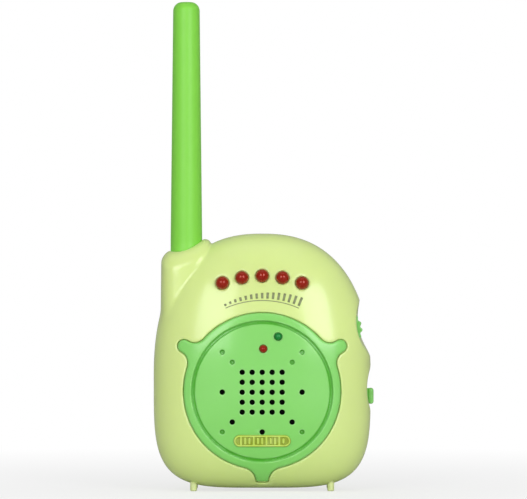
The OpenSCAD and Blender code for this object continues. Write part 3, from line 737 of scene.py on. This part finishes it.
def rear_shell():
    """The back half, with the battery bay, the screw wells and the openings for the controls."""
    f = shell_field(-0.2, BACK)
    plain = casing(f)
    skin = outer_skin(f)
    solid = cut(rmax(skin, -f.y, EDGE), hollow(f), 0.25)
    posts = screw_posts(f, CASE_SCREWS, 3.6, 2.6, BACK)
    posts = np.minimum(posts, screw_posts(f, CLIP_SCREWS, 2.6, 15.0, BACK))
    bay = block(f, (-27.2, 1.4, 14.8), (27.2, BACK, 46.2), 0.4)
    solid = np.minimum(solid, np.maximum(np.minimum(posts, bay), plain + 0.5))
    solid = cut(solid, block(f, (-26, 2.6, 16), (26, BACK + 9, 45), 0.5), 0.3)
    opening = block(
        f,
        (DOOR_LO[0] + PIN_REACH - DOOR_GAP, DOOR_LO[1] - 0.05, DOOR_LO[2] - DOOR_GAP),
        (DOOR_HI[0] - PIN_REACH + DOOR_GAP, BACK + 9, DOOR_HI[2] + DOOR_GAP),
        0.8,
    )
    solid = cut(solid, opening, 0.3)
    solid = cut(solid, screw_posts(f, CASE_SCREWS, 2.7, 5.0, BACK + 9), 0.3)
    solid = cut(solid, screw_posts(f, CASE_SCREWS, 1.5, 1.0, 9.0), 0.1)
    solid = cut(solid, screw_posts(f, CLIP_SCREWS, 1.3, 14.0, BACK + 9), 0.1)
    solid = cut(solid, antenna_bore(f), 0.3)
    solid = np.maximum(solid, -foot_holes(f))
    solid = cut(solid, ball(f, (0, BACK + 4.6, DOOR_HI[2] + 0.5), 6.0), 0.6)
    wheel_lo, wheel_hi = box("volume_wheel")
    slot = (wheel_lo - 0.5, wheel_hi + 0.5)
    way = block(f, (24, slot[0][1] + 0.15, slot[0][2]), (46, slot[1][1] - 0.15, slot[1][2]), 0.2)
    solid = cut(solid, way, 0.25)
    track = block(f, (39.9, 1.0, 32.55), (46, 5.0, 43.25), 0.3)
    solid = cut(solid, track, 0.3)
    solid = cut(solid, block(f, (34, 1.65, 32.65), (44, 4.35, 43.15), 0.2), 0.15)
    jack_lo, jack_hi = box("dc_jack")
    y, z = (jack_lo[1] + jack_hi[1]) / 2, (jack_lo[2] + jack_hi[2]) / 2
    inlet = np.maximum(np.hypot(f.y - y, f.z - z) - 3.9, f.x + 36)
    solid = cut(solid, inlet, 0.4)
    return carve("rear_shell_moulding", f, solid, 80000)


# ---------- Speaker cover ----------

COVER_STEP = 0.21
LINK_AT = tuple((np.array(box("link_led")).mean(0))[[0, 2]])
POWER_AT = tuple((np.array(box("power_led")).mean(0))[[0, 2]])


def speaker_cover():
    """The ring with its lugs, and the lowered, grooved disc with its sound holes and dimples."""
    lo, hi = box("speaker_cover")
    f = Field((lo[0] - 1, lo[1] - 1, lo[2] - 1), (hi[0] + 1, -9.5, hi[2] + 1), COVER_STEP)
    plain = casing(f)
    r = np.hypot(f.x, f.z - COVER_Z)
    body = rmax(cover_outline(f), plain - RING_PROUD, 0.9)
    body = cut(body, rmax(r - STEP_R, -(plain + DISC_SUNK), 0.3), 0.5)
    channel = rmax(np.abs(r - CHANNEL_R) - CHANNEL_HALF, -(plain + DISC_SUNK + CHANNEL_DEEP), 0.4)
    body = cut(body, channel, 0.3)
    deep = np.where(r < OPENING_R - 0.2, DISC_REAR, SEAT - 0.03)
    body = np.maximum(body, -(plain + deep))
    spots = [(i, j) for i in range(-2, 3) for j in range(-2, 3)] + list(OUTER_HOLES)
    holes = joined(rod(f, i * PITCH, GRID_Z + j * PITCH, HOLE_R) for i, j in spots)
    for i, j in DIMPLES:
        pit = rod(f, i * PITCH, GRID_Z + j * PITCH, DIMPLE_R)
        pit = rmax(pit, -(plain + DISC_SUNK + DIMPLE_DEEP), 0.1)
        holes = np.minimum(holes, pit)
    body = cut(body, holes, 0.18)
    for x, z in (LINK_AT, POWER_AT):
        body = cut(body, rod(f, x, z, SMALL_LAMP_HOLE_R), 0.2)
    # The recess mask paints shade into the groove and the dimples, darker the deeper they go.
    return carve("speaker_cover_moulding", f, body, 120000, (-plain - DISC_SUNK - 0.1) / 0.3)


def badge():
    """A pill-shaped badge with a raised rim and plain raised bars."""
    lo, hi = box("cover_badge")
    f = Field((lo[0] - 1, lo[1] - 1.2, lo[2] - 1), (hi[0] + 1, hi[1] + 1, hi[2] + 1), 0.16)
    plain = casing(f)
    zc, half_h = (lo[2] + hi[2]) / 2, (hi[2] - lo[2]) / 2
    reach = hi[0] - half_h
    pill = np.hypot(np.maximum(np.abs(f.x) - reach, 0), f.z - zc) - half_h
    d = rmax(pill, plain + DISC_SUNK - 0.28, 0.15)
    rim = np.abs(pill + 0.5) - 0.28
    d = np.minimum(d, rmax(rim, plain + DISC_SUNK - 0.74, 0.1))
    bars = []
    for k in range(-5, 6):
        tall = 0.5 + 0.7 * abs(math.sin(1.1 * k + 0.6))
        bars.append(np.hypot(f.x - 1.6 * k, np.maximum(np.abs(f.z - zc) - tall, 0)) - 0.4)
    d = np.minimum(d, rmax(joined(bars), plain + DISC_SUNK - 0.78, 0.1))
    d = np.maximum(d, -(plain + DISC_SUNK - 0.03))
    # The recess mask paints shade on the badge's low ground between the bars and inside the rim.
    return carve("cover_badge_relief", f, d, 24000, (0.62 - plain - DISC_SUNK) / 0.25)


finish(front_shell(), "casing", "pale_plastic", MAT["pale_plastic"], "front_shell")
finish(rear_shell(), "casing", "pale_plastic", MAT["pale_plastic"], "rear_shell")
finish(speaker_cover(), "casing", "leaf_plastic", MAT["cover_plastic"], "speaker_cover")
finish(badge(), "casing", "badge_plastic", MAT["badge_plastic"], "cover_badge")

# ---------- Antenna ----------


def antenna():
    """The tapered sleeve, with its inner flange and rounded tip."""
    base, flange_r = ANT_LO[2], (ANT_HI[0] - ANT_LO[0]) / 2
    start, shoulder = SOCKET_TOP + 2, ANT_TOP - 3.4
    profile = [(0, base), (flange_r, base), (flange_r, base + 2.4), (ANT_R, base + 2.5), (ANT_R, start)]
    steps = 14
    for k in range(1, steps + 1):
        t = k / steps
        profile.append((ANT_R + (ANT_TIP_R - ANT_R) * t, start + (shoulder - start) * t))
    for k in range(1, 10):
        t = math.radians(10 * k)
        r = ANT_TIP_R - ANT_TIP_ROUND + ANT_TIP_ROUND * math.cos(t)
        profile.append((r, shoulder + 3.4 * math.sin(t)))
    profile.append((0, ANT_TOP))
    return lathe("antenna_sleeve_skin", profile, 64, (ANT_X, 0, 0))


finish(antenna(), "casing", "antenna_rubber", MAT["antenna_rubber"], "antenna_sleeve")

# ---------- Lamps ----------


def lamp(name, node, slot_name):
    """A round lamp: collar, barrel and domed end, facing forward."""
    lo, hi = box(node)
    collar = (hi[0] - lo[0]) / 2
    r = collar - 0.4
    length = hi[1] - lo[1]
    profile = [(0, -length), (collar - 0.1, -length), (collar, -length + 0.1)]
    profile += [(collar, -length + 0.9), (collar - 0.1, -length + 1), (r, -length + 1), (r, -r)]
    for k in range(1, 12):
        t = math.radians(90 * k / 12)
        profile.append((r * math.cos(t), -r + r * math.sin(t)))
    profile.append((0, 0))
    at = ((lo[0] + hi[0]) / 2, lo[1], (lo[2] + hi[2]) / 2)
    ob = lathe(name, profile, 40, at, forward=True)
    return finish(ob, "casing", slot_name, MAT[slot_name], node)


for k in range(1, 6):
    lamp(f"level_lamp_{k}", f"level_led_{k}", "red_lens")
lamp("power_lamp", "power_led", "green_lens")
lamp("link_lamp", "link_led", "red_lens")

# ---------- Controls ----------


def volume_wheel():
    """The toothed wheel, with a well for its screw."""
    lo, hi = box("volume_wheel")
    cx, cz = (lo[0] + hi[0]) / 2, box("pot_shaft")[0][2] + 1.5
    r = (hi[0] - lo[0]) / 2
    f = Field((cx - r - 1, lo[1] - 1, cz - r - 1), (cx + r + 1, hi[1] + 1, cz + r + 1), 0.14)
    turn = np.arctan2(f.z - cz, f.x - cx)
    rim = np.hypot(f.x - cx, f.z - cz)
    teeth = (rim - r + 0.34 * (1 - np.cos(18 * turn))) * 0.9
    d = rmax(teeth, np.abs(f.y - (lo[1] + hi[1]) / 2) - (hi[1] - lo[1]) / 2, 0.45)
    d = cut(d, rim - 1.56, 0.1)
    well = rmax(rim - 5.0, hi[1] - 0.9 - f.y, 0.2)
    d = cut(d, well, 0.2)
    return carve("volume_wheel_knurled", f, d, 26000)


KNOB_CAP_X = 40.2


def slide_knob():
    """The knob's rounded cap, its stem and the dust plate behind the window."""
    lo, hi = box("slide_knob")
    f = Field(lo - 1, hi + 1, 0.14)
    cy = (lo[1] + hi[1]) / 2
    cz = (lo[2] + hi[2]) / 2
    cap = block(f, (KNOB_CAP_X, cy - 1.75, cz - 3.05), (hi[0], cy + 1.75, cz + 3.05), 1.0)
    stem = block(f, (lo[0] + 0.4, cy - 1.1, cz - 2.95), (KNOB_CAP_X + 1.0, cy + 1.1, cz + 2.95), 0.1)
    plate = block(f, (lo[0], lo[1], lo[2]), (lo[0] + 0.9, hi[1], hi[2]), 0.2)
    d = np.minimum(np.minimum(cap, stem), plate)
    return carve("slide_knob_cap", f, d, 20000)


finish(volume_wheel(), "wheel", "leaf_plastic", MAT["leaf_plastic"], "volume_wheel")
finish(slide_knob(), "knob", "leaf_plastic", MAT["leaf_plastic"], "slide_knob")

# ---------- Back: door, clip, feet ----------


def battery_door():
    """The door, with its pins at the heel, finger grooves and an arrow."""
    lo, hi = DOOR_LO, DOOR_HI
    f = Field(lo - 1, hi + 1, 0.26)
    t = hi[1] - lo[1]
    pivot = lo[2] + t / 2
    from_pivot = np.hypot(f.y - (lo[1] + hi[1]) / 2, f.z - pivot)
    x0, x1 = lo[0] + PIN_REACH, hi[0] - PIN_REACH
    leaf = block(f, (x0, lo[1], lo[2]), (x1, hi[1], hi[2]), 0.5)
    heel = np.maximum(from_pivot - t / 2, np.maximum(x0 - f.x, f.x - x1))
    pins = np.maximum(from_pivot - 0.5, np.maximum(lo[0] - f.x, f.x - hi[0]))
    d = joined((np.maximum(leaf, pivot - f.z), heel, pins))
    for k in range(5):
        z = 33 + 2 * k
        groove = np.hypot(np.hypot(f.y - hi[1], f.z - z), np.maximum(np.abs(f.x) - 9, 0)) - 0.55
        d = cut(d, groove, 0.2)
    tip = np.maximum(np.abs(f.x) - 2.2 + 0.9 * (f.z - 29.4), 0) + 0 * f.y
    arrow = np.maximum(np.maximum(tip, 28.2 - f.z), hi[1] - 0.35 - f.y)
    d = cut(d, arrow, 0.08)
    return carve("battery_door_moulding", f, d, 40000)


def clip_profile(f, back):
    """The clip's side view in Y and Z, as one smooth strip with a pad."""

    def strip(a, b, r):
        ay, az = a
        by, bz = b
        k = ((f.y - ay) * (by - ay) + (f.z - az) * (bz - az)) / ((by - ay) ** 2 + (bz - az) ** 2)
        k = np.clip(k, 0, 1)
        return np.hypot(f.y - ay - k * (by - ay), f.z - az - k * (bz - az)) - r

    def dot(y, z, r):
        return np.hypot(f.y - y, f.z - z) - r

    pad = np.hypot(
        np.maximum(np.abs(f.y - back - 1.3) - 0.65, 0), np.maximum(np.abs(f.z - 82) - 5.4, 0)
    ) - 0.6
    d = rmin(pad, strip((back + 1.4, 86.6), (back + 5, 80), 1.1), 0.8)
    d = rmin(d, strip((back + 5, 80), (back + 4.7, 54), 1.0), 0.8)
    d = rmin(d, strip((back + 4.7, 54), (back + 6, 50), 1.0), 0.5)
    return rmin(d, dot(back + 3.9, 56, 1.3), 1.0)


def belt_clip():
    """The belt clip, narrowing towards its lip, with wells for its two screws."""
    lo, hi = box("belt_clip")
    f = Field(lo - 1, hi + 1, 0.24)
    half = (hi[0] - lo[0]) / 2
    narrow = half - 1.6 * np.clip((70 - f.z) / 22, 0, 1) ** 2
    d = rmax(clip_profile(f, BACK), np.abs(f.x) - narrow, 0.6)
    for x, z in CLIP_SCREWS:
        d = cut(d, rod(f, x, z, 1.4), 0.1)
        d = cut(d, rmax(rod(f, x, z, 2.3), BACK + 1.5 - f.y, 0.2), 0.25)
    d = np.maximum(d, BACK + 0.05 - f.y)
    return carve("belt_clip_moulding", f, d, 30000)


def foot_pegs():
    """The four pegs that the unit stands on."""
    lo, hi = box("feet")
    f = Field(lo - 0.8, hi + 0.8, 0.2)
    d = rmax(foot_rods(f, FOOT_R), np.abs(f.z - hi[2] / 2) - hi[2] / 2, 0.45)
    return carve("foot_pegs", f, d, 16000)


finish(battery_door(), "door", "pale_plastic", MAT["pale_plastic"], "battery_door")
finish(belt_clip(), "casing", "pale_plastic", MAT["pale_plastic"], "belt_clip")
finish(foot_pegs(), "casing", "foot_plastic", MAT["foot_plastic"], "feet")

# ---------- Printed level marks ----------


def front_depth(x, z):
    """How far the dome stands in front of the parting plane at (x, z), in millimetres."""
    b, n = (CROWN - BELT, CROWN_N) if z >= BELT else (BELT - KEEL, KEEL_N)
    s = ((abs(x) / HALF_W) ** n + (abs(z - BELT) / b) ** n) ** (1 / n)
    return FRONT_D * (1 - s**FRONT_N) ** (1 / FRONT_N)


MARK_R = 36.6
MARK_LIFT = 0.05
ink = Nodes("ink_grey")
wash = ink.ramp(ink.noise(500, 4, 0.6), 0.3, 0.7)
ink.set("Base Color", ink.mix(wash, linear(128, 138, 96), linear(142, 152, 108)))
ink.set("Roughness", ink.ramp(ink.noise(900), 0.3, 0.7, 0.4, 0.55))
ink.set("Normal", ink.bump(ink.noise(2600, 3), 0.01, 0.5))


def polar(angle, r):
    """A point of the mark band: angle from straight up, clockwise, about the cover's centre."""
    t = math.radians(angle)
    return r * math.sin(t), COVER_Z + r * math.cos(t)


def patch(verts, faces, a0, a1, r0, r1, cells=6):
    """A printed patch on the dome between two angles and two radii."""
    base = len(verts)
    for i in range(cells + 1):
        for j in range(3):
            x, z = polar(a0 + (a1 - a0) * i / cells, r0 + (r1 - r0) * j / 2)
            verts.append((x, -front_depth(x, z) - MARK_LIFT, z))
    for i in range(cells):
        for j in range(2):
            a = base + i * 3 + j
            faces.append((a, a + 1, a + 4, a + 3))


def level_marks():
    """A generic level scale: bars that grow from left to right, over a thin line."""
    verts, faces = [], []
    bars = 15
    span = 23.0
    for i in range(bars):
        c = -span + 2 * span * i / (bars - 1)
        tall = 0.8 + 2.6 * i / (bars - 1)
        patch(verts, faces, c - 0.7, c + 0.7, MARK_R - 1.6, MARK_R - 1.6 + tall, 3)
    patch(verts, faces, -span - 0.7, span + 0.7, MARK_R - 2.5, MARK_R - 2.2, 40)
    ob = mesh_object("level_marks", np.array(verts) * MM, faces)
    thick = ob.modifiers.new("ink", "SOLIDIFY")
    thick.thickness = 0.04 * MM
    thick.offset = -1
    return ob


finish(level_marks(), "casing", "pale_plastic", ink.mat)

# ---------- Floor, light, camera ----------


def floor():
    """A plain pale table that fades to white in the camera's eye."""
    bm = bmesh.new()
    bmesh.ops.create_circle(bm, cap_ends=True, segments=96, radius=6.0)
    me = bpy.data.meshes.new("floor")
    bm.to_mesh(me)
    bm.free()
    ob = bpy.data.objects.new("floor", me)
    bpy.context.scene.collection.objects.link(ob)
    n = Nodes("floor")
    tone = n.ramp(n.noise(3, 3), 0.3, 0.7)
    pale = n.mix(tone, (0.9, 0.9, 0.89), (0.93, 0.93, 0.925))
    path = n.add("ShaderNodeLightPath")
    n.set("Base Color", n.mix(path.outputs["Is Camera Ray"], (0.6, 0.6, 0.57), pale))
    n.set("Roughness", n.ramp(n.noise(40, 3), 0.3, 0.7, 0.6, 0.8))
    glow = n.add("ShaderNodeEmission")
    glow.inputs["Strength"].default_value = 1.0
    glow.inputs["Color"].default_value = (1, 1, 1, 1)
    reach = n.add("ShaderNodeVectorMath", operation="LENGTH")
    n.link(n.coord, reach.inputs[0])
    fade = n.ramp(reach.outputs["Value"], 0.05, 0.35, 0.7, 1.0)
    share = n.math("MULTIPLY", path.outputs["Is Camera Ray"], fade)
    mixer = n.add("ShaderNodeMixShader")
    n.link(share, mixer.inputs[0])
    n.link(n.bsdf.outputs[0], mixer.inputs[1])
    n.link(glow.outputs[0], mixer.inputs[2])
    n.link(mixer.outputs[0], n.tree.nodes["Material Output"].inputs["Surface"])
    me.materials.append(n.mat)


def world():
    """White to the camera, a soft grey light to everything else."""
    w = bpy.data.worlds.new("studio")
    bpy.context.scene.world = w
    w.use_nodes = True
    t = w.node_tree
    out = t.nodes["World Output"]
    seen, lit = t.nodes["Background"], t.nodes.new("ShaderNodeBackground")
    seen.inputs["Color"].default_value = (1, 1, 1, 1)
    seen.inputs["Strength"].default_value = 1.0
    lit.inputs["Color"].default_value = (0.97, 0.98, 1.0, 1)
    lit.inputs["Strength"].default_value = WORLD_LIGHT
    path = t.nodes.new("ShaderNodeLightPath")
    mixer = t.nodes.new("ShaderNodeMixShader")
    t.links.new(path.outputs["Is Camera Ray"], mixer.inputs[0])
    t.links.new(lit.outputs[0], mixer.inputs[1])
    t.links.new(seen.outputs[0], mixer.inputs[2])
    t.links.new(mixer.outputs[0], out.inputs["Surface"])


AIM = Vector((0, 0, 0.075))
WORLD_LIGHT = 0.34


def softbox(name, azimuth, elevation, distance, width, height, power, mirrored=True):
    """A rectangular soft light: azimuth 0 is in front, positive to the right."""
    a, e = math.radians(azimuth), math.radians(elevation)
    light = bpy.data.lights.new(name, "AREA")
    light.shape = "RECTANGLE"
    light.size, light.size_y = width, height
    light.energy = power
    ob = bpy.data.objects.new(name, light)
    way = Vector((math.sin(a) * math.cos(e), -math.cos(a) * math.cos(e), math.sin(e)))
    ob.location = AIM + distance * way
    ob.rotation_mode = "QUATERNION"
    ob.rotation_quaternion = (AIM - ob.location).to_track_quat("-Z", "Y")
    ob.visible_camera = False
    ob.visible_glossy = mirrored
    bpy.context.scene.collection.objects.link(ob)


floor()
world()
softbox("box_left", -24, 17, 1.2, 0.55, 0.62, 4.4)
softbox("box_right", 30, 17, 1.2, 0.5, 0.62, 5.0)
softbox("box_top", 0, 78, 1.1, 0.9, 0.7, 0.9)
softbox("box_back", 205, 28, 1.6, 0.9, 0.7, 3.0, mirrored=False)
softbox("box_low", 10, 0, 1.3, 1.6, 0.14, 2.3, mirrored=False)

SHOT_WIDTH = 0.2003
SHOT_DISTANCE = 1.6
SHOT_HEIGHT = 0.0916
SENSOR = 36
cam = bpy.data.cameras.new("camera")
cam.sensor_width = SENSOR
cam.lens = SENSOR * SHOT_DISTANCE / SHOT_WIDTH
camera = bpy.data.objects.new("camera", cam)
camera.location = (0.0005, -SHOT_DISTANCE, SHOT_HEIGHT)
camera.rotation_euler = (math.pi / 2, 0, 0)
bpy.context.scene.collection.objects.link(camera)
bpy.context.scene.camera = camera
bpy.context.scene.view_settings.view_transform = "Standard"
